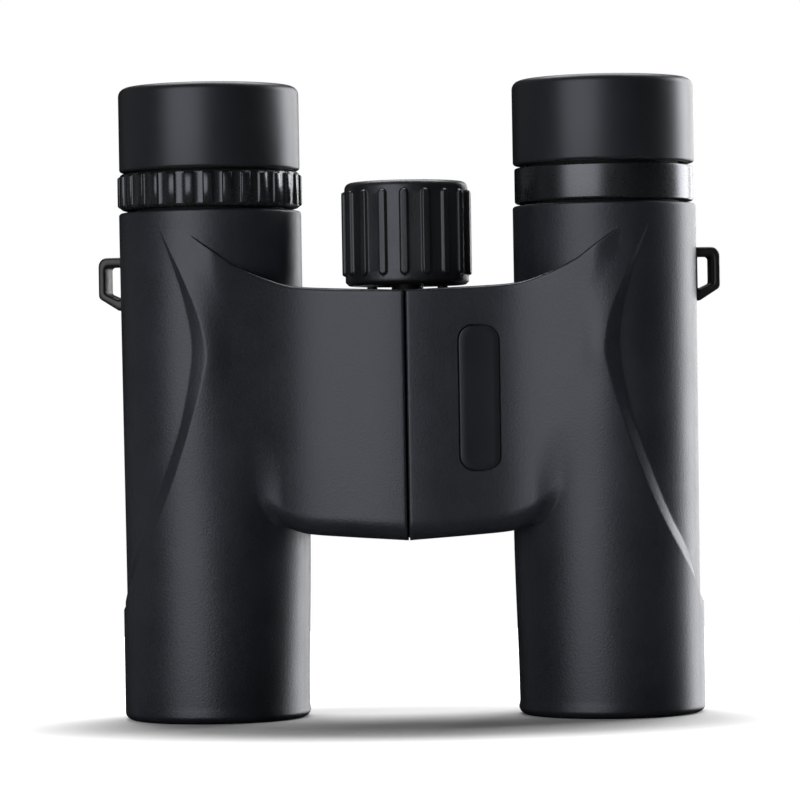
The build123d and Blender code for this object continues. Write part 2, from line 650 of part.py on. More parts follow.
# ---- hinge: slotted axle, plug and rear plate ----
def make_hinge():
    bottom, top = AXLE_ENDS
    slot_bottom, slot_top = AXLE_SLOT
    with BuildPart() as axle:
        with BuildSketch(hinge_plane(bottom)):
            Circle(AXLE_RADIUS)
            Circle(AXLE_BORE, mode=Mode.SUBTRACT)
        extrude(amount=top - bottom)
        with BuildSketch(hinge_plane(slot_bottom)):
            Rectangle(2 * AXLE_RADIUS + 1, 2 * (CROSS_PIN_RADIUS + RUNNING))
        extrude(amount=slot_top - slot_bottom, mode=Mode.SUBTRACT)
    keep(axle, "hinge_axle")
    plug_bottom = LOWER_KNUCKLE[0]
    spigot = AXLE_BORE - SNUG
    plug = lathe(hinge_section(), [
        (0, plug_bottom), (AXLE_RADIUS - 0.3, plug_bottom), (AXLE_RADIUS, plug_bottom + 0.3),
        (AXLE_RADIUS, bottom), (spigot, bottom), (spigot, bottom + 2), (0, bottom + 2)])
    keep(plug, "hinge_front_plug")
    plate_bottom = UPPER_KNUCKLE[1]
    with BuildPart() as plate:
        with BuildSketch(hinge_plane(plate_bottom)):
            Circle(KNUCKLE_RADIUS)
            Circle(SCREW_RADIUS + CLEARANCE, mode=Mode.SUBTRACT)
            with Locations((-SCREW_X, 0), (SCREW_X, 0)):
                Circle(SCREW_SHANK_RADIUS + SNUG, mode=Mode.SUBTRACT)
        extrude(amount=PLATE_THICKNESS)
    keep(plate, "hinge_rear_plate")
    head_bottom = plate_bottom + PLATE_THICKNESS
    with BuildPart() as screws:
        with BuildSketch(hinge_plane(head_bottom)):
            with Locations((-SCREW_X, 0), (SCREW_X, 0)):
                Circle(SCREW_HEAD_RADIUS)
        extrude(amount=WHEEL_BOTTOM - head_bottom - 0.2)
        with BuildSketch(hinge_plane(head_bottom)):
            with Locations((-SCREW_X, 0), (SCREW_X, 0)):
                Circle(SCREW_SHANK_RADIUS)
        extrude(amount=PLATE_THICKNESS - SCREW_LENGTH)
    keep(screws, "hinge_plate_screws")


# ---- focusing drive: the wheel turns a screw that moves the nut, pins and spool ----
def make_focus_drive():
    web = 2.0
    core_top = WHEEL_TOP - 1.2
    hub_bottom = UPPER_KNUCKLE[1] + PLATE_THICKNESS + 0.2
    skirt_inside = WHEEL_CORE_RADIUS - 1.5
    core = lathe(hinge_section(), [
        (SCREW_RADIUS + SNUG, hub_bottom), (HUB_RADIUS, hub_bottom), (HUB_RADIUS, core_top - web),
        (skirt_inside, core_top - web), (skirt_inside, WHEEL_BOTTOM + 0.2),
        (WHEEL_CORE_RADIUS, WHEEL_BOTTOM + 0.2), (WHEEL_CORE_RADIUS, core_top),
        (SCREW_RADIUS + SNUG, core_top)])
    keep(core, "focus_wheel_core")

    cap_radius = 8.2
    top_rounding = 1.2
    rib_bottom, rib_top = WHEEL_RIB_ENDS
    with BuildPart() as grip:
        with BuildSketch(hinge_section()):
            with BuildLine():
                Polyline((cap_radius, WHEEL_TOP), (cap_radius, core_top),
                         (WHEEL_CORE_RADIUS, core_top), (WHEEL_CORE_RADIUS, WHEEL_BOTTOM),
                         (WHEEL_RADIUS - 0.6, WHEEL_BOTTOM), (WHEEL_RADIUS, WHEEL_BOTTOM + 0.6),
                         (WHEEL_RADIUS, WHEEL_TOP - top_rounding))
                RadiusArc((WHEEL_RADIUS, WHEEL_TOP - top_rounding),
                          (WHEEL_RADIUS - top_rounding, WHEEL_TOP), -top_rounding)
                Line((WHEEL_RADIUS - top_rounding, WHEEL_TOP), (cap_radius, WHEEL_TOP))
            make_face()
        revolve(axis=Axis((0, HINGE_Y, 0), (0, 0, 1)))
        with BuildSketch(hinge_plane(rib_bottom)):
            with PolarLocations(WHEEL_RADIUS, WHEEL_RIBS, start_angle=-90):
                Rectangle(2 * (WHEEL_RIB_RADIUS - WHEEL_RADIUS), WHEEL_RIB_WIDTH)
        extrude(amount=rib_top - rib_bottom)
    keep(grip, "focus_wheel_grip")
    cap = lathe(hinge_section(), [
        (0, core_top), (cap_radius - SNUG, core_top), (cap_radius - SNUG, WHEEL_TOP - 0.3),
        (cap_radius - 0.5, WHEEL_TOP - 0.1), (0, WHEEL_TOP - 0.1)])
    keep(cap, "focus_wheel_cap")

    flange = AXLE_BORE - RUNNING
    flange_top = UPPER_KNUCKLE[1] - RUNNING
    screw_bottom = AXLE_ENDS[0] + 2.5
    screw = lathe(hinge_section(), [
        (0, screw_bottom), (SCREW_RADIUS - 0.4, screw_bottom), (SCREW_RADIUS, screw_bottom + 0.4),
        (SCREW_RADIUS, flange_top - 1.6), (flange, flange_top - 1.6), (flange, flange_top),
        (SCREW_RADIUS, flange_top), (SCREW_RADIUS, core_top - 0.1), (0, core_top - 0.1)])
    keep(screw, "focus_screw")

    nut_height = 4.0
    nut_bottom = CROSS_PIN_Z - nut_height / 2
    with BuildPart() as nut:
        with BuildSketch(hinge_plane(nut_bottom)):
            Circle(AXLE_BORE - RUNNING)
            Circle(SCREW_RADIUS + RUNNING, mode=Mode.SUBTRACT)
        extrude(amount=nut_height)
        with BuildSketch(Plane(origin=(0, HINGE_Y, CROSS_PIN_Z), z_dir=(1, 0, 0))):
            Circle(CROSS_PIN_RADIUS + SNUG)
        extrude(amount=AXLE_RADIUS, both=True, mode=Mode.SUBTRACT)
    keep(nut, "focus_nut")
    with BuildPart() as spool:
        with BuildSketch(hinge_plane(SPOOL_BOTTOM)):
            Circle(SPOOL_RADIUS)
        extrude(amount=SPOOL_TOP - SPOOL_BOTTOM)
        with BuildSketch(hinge_plane(GROOVE_BOTTOM)):
            Circle(SPOOL_RADIUS)
            Circle(GROOVE_RADIUS, mode=Mode.SUBTRACT)
        extrude(amount=GROOVE_TOP - GROOVE_BOTTOM, mode=Mode.SUBTRACT)
        with BuildSketch(hinge_plane(SPOOL_BOTTOM)):
            Circle(AXLE_RADIUS + RUNNING)
        extrude(amount=SPOOL_TOP - SPOOL_BOTTOM, mode=Mode.SUBTRACT)
        with BuildSketch(Plane(origin=(0, HINGE_Y, CROSS_PIN_Z), z_dir=(1, 0, 0))):
            Circle(CROSS_PIN_RADIUS + SNUG)
        extrude(amount=SPOOL_RADIUS, both=True, mode=Mode.SUBTRACT)
    keep(spool, "focus_spool")
    with BuildPart() as pins:
        for way in (-1, 1):
            pin_start = way * (SCREW_RADIUS + CLEARANCE)
            with BuildSketch(Plane(origin=(pin_start, HINGE_Y, CROSS_PIN_Z), z_dir=(way, 0, 0))):
                Circle(CROSS_PIN_RADIUS)
        extrude(amount=SPOOL_RADIUS - SCREW_RADIUS - 2 * CLEARANCE)
    keep(pins, "focus_cross_pins")


for side_name, side_sign in SIDES.items():
    make_armour(side_name, side_sign)
    make_housing(side_name, side_sign)
    make_strap_lug(side_name, side_sign)
    make_objective(side_name, side_sign)
    make_focus_cell(side_name, side_sign)
    make_prisms(side_name, side_sign)
    make_eyepiece(side_name, side_sign)
    make_eyecup(side_name, side_sign)
make_name_plate()
make_diopter()
make_collar()
make_hinge()
make_focus_drive()
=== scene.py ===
import json
from math import acos, atan2, cos, degrees, hypot, pi, radians, sin, sqrt, tan

import bmesh
import bpy
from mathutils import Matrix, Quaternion, Vector


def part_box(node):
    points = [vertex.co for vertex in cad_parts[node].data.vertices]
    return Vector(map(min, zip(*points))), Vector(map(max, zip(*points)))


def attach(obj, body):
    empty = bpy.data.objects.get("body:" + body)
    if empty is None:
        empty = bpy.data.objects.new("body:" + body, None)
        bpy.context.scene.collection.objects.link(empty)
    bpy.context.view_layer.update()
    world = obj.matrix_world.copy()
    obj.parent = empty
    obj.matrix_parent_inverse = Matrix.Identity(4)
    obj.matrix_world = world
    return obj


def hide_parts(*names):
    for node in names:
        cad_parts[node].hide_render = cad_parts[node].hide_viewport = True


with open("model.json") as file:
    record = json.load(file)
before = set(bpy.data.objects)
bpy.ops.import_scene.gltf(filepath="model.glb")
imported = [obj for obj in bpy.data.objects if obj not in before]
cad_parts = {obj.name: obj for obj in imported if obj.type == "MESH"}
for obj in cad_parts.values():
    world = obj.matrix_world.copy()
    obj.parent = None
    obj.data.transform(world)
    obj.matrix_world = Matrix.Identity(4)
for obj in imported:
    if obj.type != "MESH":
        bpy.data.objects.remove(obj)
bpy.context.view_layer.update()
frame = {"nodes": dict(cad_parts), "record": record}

# Compact binoculars standing on their objective rims. Shapes are worked out in millimetres about
# the places that the frame gives, and turned into metres when a mesh is made.
# -Y is the front, as the camera sees it, +X is the user's left half.
MM = 0.001


# ---------------------------------------------------------------- places from the frame
def box_mm(node):
    low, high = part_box(node)
    return [c / MM for c in low], [c / MM for c in high]


def centre_mm(node):
    low, high = box_mm(node)
    return [(a + b) / 2 for a, b in zip(low, high)]


def radius_mm(node):
    low, high = box_mm(node)
    return (high[0] - low[0]) / 2


AXIS_X = centre_mm("left_eyecup_rubber")[0]  # distance of a barrel's axis from the middle
HINGE_Y = centre_mm("hinge_axle")[1]
GAP_LIFT = 0.35  # the grooves between armour, rings and eyecups look this much higher than in CAD
ARMOUR_TOP = box_mm("left_armour")[1][2] + GAP_LIFT
SIDES = {"right": -1, "left": 1}


# ---------------------------------------------------------------- small curve helpers
def smooth(value):
    """Smooth step from 0 to 1."""
    value = min(max(value, 0.0), 1.0)
    return value * value * (3 - 2 * value)


def mix(first, second, share):
    return first + (second - first) * share


def ramp(value, start, end):
    """Smooth rise from 0 at the start to 1 at the end. The end may be the smaller of the two."""
    return smooth((value - start) / (end - start))


def curve(points, x):
    """Monotone cubic through a few (x, y) points, level beyond the ends."""
    if x <= points[0][0]:
        return points[0][1]
    if x >= points[-1][0]:
        return points[-1][1]
    slopes = []
    for (x0, y0), (x1, y1) in zip(points, points[1:]):
        slopes.append((y1 - y0) / (x1 - x0))
    tangents = [slopes[0]]
    for before, after in zip(slopes, slopes[1:]):
        same_way = before * after > 0
        tangents.append(2 * before * after / (before + after) if same_way else 0.0)
    tangents.append(slopes[-1])
    index = next(k for k in range(len(slopes)) if x <= points[k + 1][0])
    x0, y0 = points[index]
    x1, y1 = points[index + 1]
    span = x1 - x0
    t = (x - x0) / span
    return ((2 * t**3 - 3 * t**2 + 1) * y0 + (t**3 - 2 * t**2 + t) * span * tangents[index]
            + (3 * t**2 - 2 * t**3) * y1 + (t**3 - t**2) * span * tangents[index + 1])


def spread(start, end, count):
    """Evenly spaced values, both ends included."""
    return [mix(start, end, k / (count - 1)) for k in range(count)]


def rounded(corners, steps=5):
    """Closed outline with its corners rounded. Each corner is (a, b, radius).

    Two roundings share the edge between them: neither takes more than about half of it.
    """
    most = 0.49
    outline = []
    for index, (a, b, radius) in enumerate(corners):
        here = Vector((a, b))
        if radius <= 0:
            outline.append((a, b))
            continue
        back = Vector(corners[index - 1][:2]) - here
        ahead = Vector(corners[(index + 1) % len(corners)][:2]) - here
        half_angle = back.angle(ahead) / 2
        reach = min(radius / tan(half_angle), back.length * most, ahead.length * most)
        start = here + back.normalized() * reach
        end = here + ahead.normalized() * reach
        # a rational quadratic with this weight is a true arc
        weight = sin(half_angle)
        for step in range(steps + 1):
            t = step / steps
            low, mid, high = (1 - t) ** 2, 2 * t * (1 - t) * weight, t ** 2
            point = (start * low + here * mid + end * high) / (low + mid + high)
            outline.append((point.x, point.y))
    return outline


# ---------------------------------------------------------------- mesh helpers
MERGE_DISTANCE = 2e-7
DEGENERATE_LENGTH = 1e-8


def link_mesh(name, vertices, faces):
    """Object in the scene with a new mesh, whose points are given in millimetres."""
    mesh = bpy.data.meshes.new(name)
    mesh.from_pydata([(x * MM, y * MM, z * MM) for x, y, z in vertices], [], faces)
    piece = bpy.data.objects.new(name, mesh)
    bpy.context.scene.collection.objects.link(piece)
    return piece


def shade(mesh, sharp):
    """Shade smooth, except at edges sharper than an angle in degrees."""
    mesh.polygons.foreach_set("use_smooth", [True] * len(mesh.polygons))
    mesh.set_sharp_from_angle(angle=radians(sharp))


def make_object(name, vertices, faces, sharp=35.0):
    """New object with doubled points merged and its faces turned outwards."""
    piece = link_mesh(name, vertices, faces)
    piece.data.validate()
    work = bmesh.new()
    work.from_mesh(piece.data)
    bmesh.ops.remove_doubles(work, verts=work.verts, dist=MERGE_DISTANCE)
    bmesh.ops.dissolve_degenerate(work, edges=work.edges, dist=DEGENERATE_LENGTH)
    bmesh.ops.recalc_face_normals(work, faces=work.faces)
    work.to_mesh(piece.data)
    work.free()
    shade(piece.data, sharp)
    return piece


def flat_list(rows):
    return [point for row in rows for point in row]


def loft_faces(rows, closed=False):
    """Faces between rows of points, each row a loop. When closed, the last row joins the first."""
    width = len(rows[0])
    faces = []
    for r in range(len(rows) if closed else len(rows) - 1):
        above = (r + 1) % len(rows)
        for c in range(width):
            beside = (c + 1) % width
            faces.append((r * width + c, r * width + beside, above * width + beside, above * width + c))
    return faces


def torus_mesh(name, rows, sharp=35.0):
    """Closed surface from rows of points: every row is a loop, and the last joins the first."""
    return make_object(name, flat_list(rows), loft_faces(rows, closed=True), sharp)


def capped_mesh(name, rows):
    """Closed surface from loops, with its two ends filled."""
    width = len(rows[0])
    faces = loft_faces(rows)
    faces.append(tuple(range(width)))
    faces.append(tuple(range((len(rows) - 1) * width, len(rows) * width)))
    return make_object(name, flat_list(rows), faces)


def turn_rows(profile, centre, angles, radius_of=None):
    """Rows of a turned shape. The profile is (radius, height); radius_of may change the radius."""
    cx, cy = centre
    rows = []
    for index, (radius, height) in enumerate(profile):
        row = []
        for angle in angles:
            r = radius_of(index, radius, height, angle) if radius_of else radius
            row.append((cx + r * sin(radians(angle)), cy - r * cos(radians(angle)), height))
        rows.append(row)
    return rows


def lathe(name, centre, corners):
    """Ring turned about a vertical line, from a closed section of (radius, height, rounding)."""
    segments = 200
    angles = [360 * k / segments for k in range(segments)]
    return torus_mesh(name, turn_rows(rounded(corners), centre, angles))


def dress(piece, material, body, *nodes, slot):
    """Give a new piece its material and the body it rides on, and hide the CAD nodes it stands for. The
    slot argument is not used.
    """
    piece.data.materials.clear()
    piece.data.materials.append(material)
    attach(piece, body)
    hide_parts(*nodes)


# ---------------------------------------------------------------- materials
GRAIN_SHARE = 0.55  # how much of a surface's variation is fine grain, the rest being blotches
BLOTCH_SCALE = 90.0


def node_of(tree, kind, **values):
    """New shader node. A value sets the input of that name, or else the node's own setting."""
    node = tree.nodes.new(kind)
    for key, value in values.items():
        if key in node.inputs:
            node.inputs[key].default_value = value
        else:
            setattr(node, key, value)
    return node


def surface(name, dark, light, rough, grain, bump, **fixed):
    """Moulded or painted surface: blotchy colour and roughness, and a fine grain that is also bump.

    dark and light are the two colours, rough the lowest and highest roughness, grain the size of
    the grain in millimetres, and bump its height in millimetres.
    """
    material = bpy.data.materials.new(name)
    material.use_nodes = True
    tree = material.node_tree
    shader = tree.nodes["Principled BSDF"]
    for key, value in fixed.items():
        shader.inputs[key.replace("_", " ")].default_value = value
    place = node_of(tree, "ShaderNodeTexCoord")
    blotch = node_of(tree, "ShaderNodeTexNoise", Scale=BLOTCH_SCALE, Detail=4.0, Roughness=0.6)
    fine = node_of(tree, "ShaderNodeTexNoise", Scale=1 / (grain * MM), Detail=2.0, Roughness=0.55)
    tree.links.new(place.outputs["Object"], blotch.inputs["Vector"])
    tree.links.new(place.outputs["Object"], fine.inputs["Vector"])
    blend = node_of(tree, "ShaderNodeMath", operation="MULTIPLY_ADD")
    blend.inputs[1].default_value = GRAIN_SHARE
    tree.links.new(fine.outputs["Fac"], blend.inputs[0])
    coarse = node_of(tree, "ShaderNodeMath", operation="MULTIPLY")
    coarse.inputs[1].default_value = 1 - GRAIN_SHARE
    tree.links.new(blotch.outputs["Fac"], coarse.inputs[0])
    tree.links.new(coarse.outputs[0], blend.inputs[2])
    colours = node_of(tree, "ShaderNodeValToRGB")
    colours.color_ramp.elements[0].position = 0.35
    colours.color_ramp.elements[1].position = 0.65
    colours.color_ramp.elements[0].color = (*dark, 1)
    colours.color_ramp.elements[1].color = (*light, 1)
    tree.links.new(blend.outputs[0], colours.inputs["Fac"])
    tree.links.new(colours.outputs["Color"], shader.inputs["Base Color"])
    roughness = node_of(tree, "ShaderNodeMapRange")
    roughness.inputs["From Min"].default_value = 0.3
    roughness.inputs["From Max"].default_value = 0.7
    roughness.inputs["To Min"].default_value = rough[0]
    roughness.inputs["To Max"].default_value = rough[1]
    tree.links.new(blend.outputs[0], roughness.inputs["Value"])
    tree.links.new(roughness.outputs["Result"], shader.inputs["Roughness"])
    height = node_of(tree, "ShaderNodeBump", Strength=0.6, Distance=bump * MM)
    tree.links.new(fine.outputs["Fac"], height.inputs["Height"])
    tree.links.new(height.outputs["Normal"], shader.inputs["Normal"])
    return material


def glass(name, tint, film):
    """Glass with a thin film, given in nanometres, that colours its reflection. 0 is no film."""
    material = bpy.data.materials.new(name)
    material.use_nodes = True
    tree = material.node_tree
    shader = tree.nodes["Principled BSDF"]
    for key, value in {"Base Color": (*tint, 1), "Roughness": 0.02, "IOR": 1.52,
                       "Transmission Weight": 1.0, "Thin Film Thickness": film,
                       "Thin Film IOR": 1.9}.items():
        shader.inputs[key].default_value = value
    return material


COOL = (0.86, 0.885, 1.0, 1)  # tint of the black surfaces' shine
RUBBER = surface("armour_rubber", (0.0075, 0.0084, 0.011), (0.0145, 0.0162, 0.0205), (0.38, 0.47), 0.4,
                 0.06, Specular_Tint=COOL, Specular_IOR_Level=0.62)
EYECUP_RUBBER = surface("eyecup_rubber", (0.009, 0.0097, 0.0115), (0.013, 0.014, 0.0165), (0.34, 0.44),
                        0.3, 0.004, Specular_Tint=COOL)
WHEEL_RUBBER = surface("wheel_rubber", (0.006, 0.0063, 0.007), (0.012, 0.0125, 0.0135), (0.32, 0.46), 0.3,
                       0.045, Specular_Tint=COOL, Specular_IOR_Level=0.62)
RING_PLASTIC = surface("ring_plastic", (0.008, 0.0085, 0.0095), (0.013, 0.0135, 0.0148), (0.22, 0.3), 0.3,
                       0.006, Specular_Tint=COOL, Specular_IOR_Level=0.7)
COLLAR_GLOSS = surface("collar_gloss", (0.006, 0.0063, 0.007), (0.009, 0.0094, 0.0104), (0.25, 0.31),
                       0.5, 0.001, Specular_Tint=COOL, Specular_IOR_Level=0.9)
PLATE_SATIN = surface("plate_satin", (0.006, 0.0066, 0.008), (0.009, 0.0099, 0.012), (0.36, 0.44), 0.2,
                      0.004, Specular_Tint=COOL)
LUG_PAINT = surface("lug_paint", (0.006, 0.0063, 0.007), (0.009, 0.0095, 0.0105), (0.34, 0.46), 0.25, 0.012)
NYLON = surface("nylon", (0.016, 0.016, 0.017), (0.024, 0.024, 0.025), (0.45, 0.6), 0.35, 0.01)
MATT_BLACK = surface("matt_black", (0.008, 0.008, 0.008), (0.014, 0.014, 0.014), (0.65, 0.8), 0.3,
                     0.008)
ANODISED = surface("anodised", (0.014, 0.014, 0.015), (0.02, 0.02, 0.022), (0.28, 0.4), 0.15, 0.003,
                   Metallic=0.6)
STEEL = surface("steel", (0.5, 0.5, 0.51), (0.62, 0.62, 0.63), (0.25, 0.4), 0.1, 0.002, Metallic=1.0)
DARK_STEEL = surface("dark_steel", (0.03, 0.03, 0.032), (0.05, 0.05, 0.053), (0.3, 0.42), 0.1, 0.003,
                     Metallic=1.0)
BRASS = surface("brass", (0.68, 0.5, 0.23), (0.8, 0.62, 0.32), (0.22, 0.38), 0.1, 0.002, Metallic=1.0)
ACETAL = surface("acetal", (0.66, 0.66, 0.62), (0.76, 0.76, 0.72), (0.35, 0.45), 0.3, 0.004)
OBJECTIVE_GLASS = glass("objective_glass", (0.93, 1.0, 0.96), 420.0)
OCULAR_GLASS = glass("ocular_glass", (0.95, 0.97, 1.0), 300.0)
PRISM_GLASS = glass("prism_glass", (0.96, 1.0, 0.98), 0.0)

SLOT_MATERIALS = {
    "armour_rubber": RUBBER, "eyecup_rubber": EYECUP_RUBBER, "wheel_rubber": WHEEL_RUBBER,
    "housing_plastic": NYLON, "inner_plastic": MATT_BLACK, "ring_plastic": RING_PLASTIC,
    "collar_gloss": COLLAR_GLOSS, "plate_satin": PLATE_SATIN, "lug_metal": LUG_PAINT,
    "anodised_black": ANODISED, "objective_glass": OBJECTIVE_GLASS, "ocular_glass": OCULAR_GLASS,
    "prism_glass": PRISM_GLASS, "spring_steel": STEEL, "steel": STEEL,
    "blackened_steel": DARK_STEEL, "brass": BRASS, "acetal": ACETAL,
}

# every CAD node shows its slot's material, unless a piece below stands for it
for part in frame["record"]["subparts"]:
    node = frame["nodes"][part["node"]]
    if not node.data.materials:
        node.data.materials.append(None)
    for entry in node.material_slots:
        entry.material = SLOT_MATERIALS[part["material_slot"]]


# ---------------------------------------------------------------- armour
# One half is a grid of points: columns run round it and rows run up it. The columns follow the two
# long creases of the grip recess, and the rows follow the shoulders where the bridge meets the
# barrel. Angles are in degrees round the barrel's axis, 0 at the front and positive outwards.
TUBE = 16.65  # the barrel's radius above the bridge
RIM = 16.95  # and below it
SADDLE = 17.3  # radius of the raised part between the shoulders
TANGENT = -17.0  # angle where the bridge's front runs into the barrel
BACK_VALLEY_RADIUS = 9.0  # the hollow between barrel and bridge at the back
BACK_VALLEY_ANGLE = 45.0
BACK_START = BACK_VALLEY_ANGLE - 90  # where that hollow meets the barrel, from the back
SEAM_X = 0.17  # half of the gap between the two halves
SEAM_EDGE = 0.5  # rounding beside the seam
WEDGE = 36.4  # half angle of the opening behind the hinge
HINGE_SPACE = 8.22  # radius of the hole round the hinge
HINGE_WALL = 0.25  # least thickness in front of that hole
BRIDGE_EDGE = 3.5  # rounding of the bridge's lower edge, which shrinks on the barrel
BARREL_EDGE = 0.5
BACK_EDGE = 1.0
SHOULDER_EDGE = 0.5  # rounding of the upper shoulder
TOP_EDGE = 0.5  # rounding of the barrel's top
RIM_EDGE = 1.4
COLLAR_HOLE = 13.65  # radius of the hole in the top, and of the collar's
COLLAR_WALL = 0.4  # thickness of the top round that hole
INSIDE = 15.1  # radius of the hollow for the housing
BORE = 13.0  # radius of the objective's bore
BORE_HEIGHT = 3.5
BORE_EDGE = 0.5
SWELL_END = 60.0  # height where the swelling of the lower barrel has ended
DRAFT = 0.4  # most extra radius on the side towards the hinge
INNER_END = -18.0  # angle where the rise to the raised crease begins on the plain barrel
STEP_EXTRA = 0.15  # how far the step under the upper shoulder stands out over the saddle
STEP_FADE = 12  # angle over which its ends fade
SINK_REACH = 15.0  # height over which the raised part sinks into the barrel
SINK_SPAN = (22.5, 28)  # distances from the seam over which the bridge's front joins in that
HEIGHT_SPAN = (22, 25)  # and over which the rows below come to end at the bridge's lower height
CORNER_SPAN = (27, 24)  # and over which the easing of the inner corner sets in
CORNER_EASE = 0.8  # widths of that easing, at most and at least
LEAST_EASE = 0.01
COLUMN_HOLD = 1.2  # depth over which a sunk point goes back to its column
ARMOUR_SHARP = 38.0

# height: angle of the raised edge and of the recessed edge of the grip crease
CREASE_RAISED = [(21.5, 72.5), (29.5, 48), (34.5, 35.5), (43.7, 20), (55.5, 6), (61.4, 0.6),
                 (66.0, -2.1), (71.2, 0.4), (79, 10.5), (88.7, 27.5)]
CREASE_RECESSED = [(21.5, 75.5), (30.2, 57.5), (35.5, 43.5), (43.7, 29.3), (56.4, 14.2), (67.8, 8.7),
                   (75.5, 12.6), (83.8, 21.5), (88.7, 28.5)]
# height: radius of the raised edge and of the recess beside it
RAISED_RADIUS = [(20, 16.95), (32, 17.05), (44, 17.25), (60, 17.65), (66, 17.85), (71, 17.7),
                 (79, 17.2), (84, 16.9), (88.7, 16.65)]
RECESS_RADIUS = [(20.0, 16.95), (21.6, 16.3), (30, 16.33), (45, 16.42), (60, 16.5), (80, 16.6),
                 (88.7, 16.65)]
# distance from the seam: lean of the bridge's front, positive outwards
FRONT_LEAN = [(0, 2), (3.8, 8), (6.3, 11), (11, 12), (13.9, 10), (16.4, 6), (18.9, 0), (21.4, -7),
              (24, -12), (27, -15.5), (30.94, -17)]
# distance from the seam: height of the lower and upper shoulders
LOWER_SHOULDER = [(0, 32.3), (13, 33.1), (18.2, 33.6), (22.1, 35.2), (25.1, 37.4), (27.5, 39.6),
                  (29.5, 41.0), (31, 41.8)]
UPPER_SHOULDER = [(0, 77.2), (13, 77.6), (19.7, 78.1), (25.5, 79.9), (30.9, 82.5), (33.3, 84.2),
                  (35.9, 86.3), (37.8, 88.1), (39.4, 89.0)]


def tube_radius(z):
    """Plain barrel. Below the bridge it swells upwards a little, as the mould's draft leaves it."""
    return curve([(0, RIM - 0.2), (20, RIM), (45, RIM + 0.07)], z) if z < SWELL_END else TUBE


def draft(angle, z):
    """The side towards the hinge swells more, up to the bridge."""
    towards_hinge = ramp(front_angle(angle), -40, -75)
    return DRAFT * towards_hinge * ramp(z, 6, 34) * ramp(z, SWELL_END, SWELL_END - 15)


def barrel_point(angle, radius):
    return (AXIS_X + radius * sin(radians(angle)), -radius * cos(radians(angle)))


def front_angle(angle):
    """The angle from the front, or from the back for the rear half, positive outwards."""
    angle = (angle + 90) % 360 - 90
    return angle if angle <= 90 else 180 - angle


def section_columns():
    """Columns as (kind of stretch, share along it), from the hinge's hole forwards and outwards."""
    columns = []
    for kind, count in (("seam", 4), ("edge", 6), ("bridge", 84), ("front", 72),
                        ("front_bevel", 14), ("recess", 84), ("back_bevel", 14), ("back", 64),
                        ("back_valley", 16), ("flat", 12), ("wedge", 8), ("hinge", 26)):
        for k in range(count):
            columns.append((kind, k / count))
    return columns


def back_valley_centre():
    reach = SADDLE + BACK_VALLEY_RADIUS
    return (AXIS_X - reach * cos(radians(BACK_VALLEY_ANGLE)), reach * sin(radians(BACK_VALLEY_ANGLE)))


def on_circle(centre, radius, angle):
    return (centre[0] + radius * cos(radians(angle)), centre[1] + radius * sin(radians(angle)))


def front_profile():
    """The bridge's front from the barrel to the seam, as (x, y), found from its lean."""
    x, y = barrel_point(TANGENT, SADDLE)
    steps = 400
    step = x / steps
    profile = [(x, y)]
    for _ in range(steps):
        y -= step * tan(radians(curve(FRONT_LEAN, x - step / 2)))
        x -= step
        profile.append((x, y))
    return profile[::-1]


FRONT_PROFILE = front_profile()


def front_y(x):
    """Front surface of the bridge at full height."""
    share = min(max(x / FRONT_PROFILE[-1][0], 0), 1) * (len(FRONT_PROFILE) - 1)
    index = min(int(share), len(FRONT_PROFILE) - 2)
    return mix(FRONT_PROFILE[index][1], FRONT_PROFILE[index + 1][1], share - index)


def front_point(x, inset):
    """Point of the bridge's front, set back. Beside the hinge it stays in front of the hinge's hole."""
    lean = radians(curve(FRONT_LEAN, x))
    y = front_y(x)
    if abs(x) < HINGE_SPACE:
        hole = HINGE_Y - sqrt(HINGE_SPACE**2 - x * x) - HINGE_WALL
        inset = min(inset, max((hole - y) * cos(lean), 0.0))
    return (max(x - inset * sin(lean), SEAM_X), y + inset * cos(lean))


def bridge_point(kind, share, inset):
    """Point of the bridge's outline, set back by an inset. Share runs along that kind of stretch."""
    if kind == "seam":
        front = front_point(SEAM_X, inset + SEAM_EDGE)[1]
        hole = HINGE_Y - sqrt(HINGE_SPACE**2 - SEAM_X**2)
        return (SEAM_X, mix(hole, front, share))
    if kind == "edge":
        turn = radians(90 * share)
        x = SEAM_X + SEAM_EDGE * (1 - cos(turn))
        return (x, front_point(x, inset + SEAM_EDGE * (1 - sin(turn)))[1])
    if kind == "bridge":
        return front_point(mix(SEAM_X + SEAM_EDGE, FRONT_PROFILE[-1][0], share), inset)
    if kind == "back_valley":
        angle = mix(-BACK_VALLEY_ANGLE, -90, share)
        return on_circle(back_valley_centre(), BACK_VALLEY_RADIUS + inset, angle)
    flat_y = back_valley_centre()[1] - BACK_VALLEY_RADIUS - inset
    corner_x = (flat_y - HINGE_Y) * tan(radians(WEDGE))
    if kind == "flat":
        return (mix(back_valley_centre()[0], corner_x, share), flat_y)
    inner = (HINGE_SPACE * sin(radians(WEDGE)), HINGE_Y + HINGE_SPACE * cos(radians(WEDGE)))
    if kind == "wedge":
        return (mix(corner_x, inner[0], share), mix(flat_y, inner[1], share))
    angle = mix(90 - WEDGE, -degrees(acos(SEAM_X / HINGE_SPACE)), share)
    return on_circle((0, HINGE_Y), HINGE_SPACE, angle)


def column_angle(kind, share, z):
    """Angle of a column round the barrel at a height."""
    raised = curve(CREASE_RAISED, z)
    recessed = curve(CREASE_RECESSED, z)
    if kind == "front":
        return mix(TANGENT, raised, share)
    if kind == "front_bevel":
        return mix(raised, recessed, share)
    if kind == "recess":
        return mix(recessed, 180 - recessed, share)
    if kind == "back_bevel":
        return mix(180 - recessed, 180 - raised, share)
    if kind == "back":
        return mix(180 - raised, 270 - BACK_VALLEY_ANGLE, share)
    x, y = bridge_point(kind, share, 0)
    return -degrees(atan2(AXIS_X - x, -y)) % 360


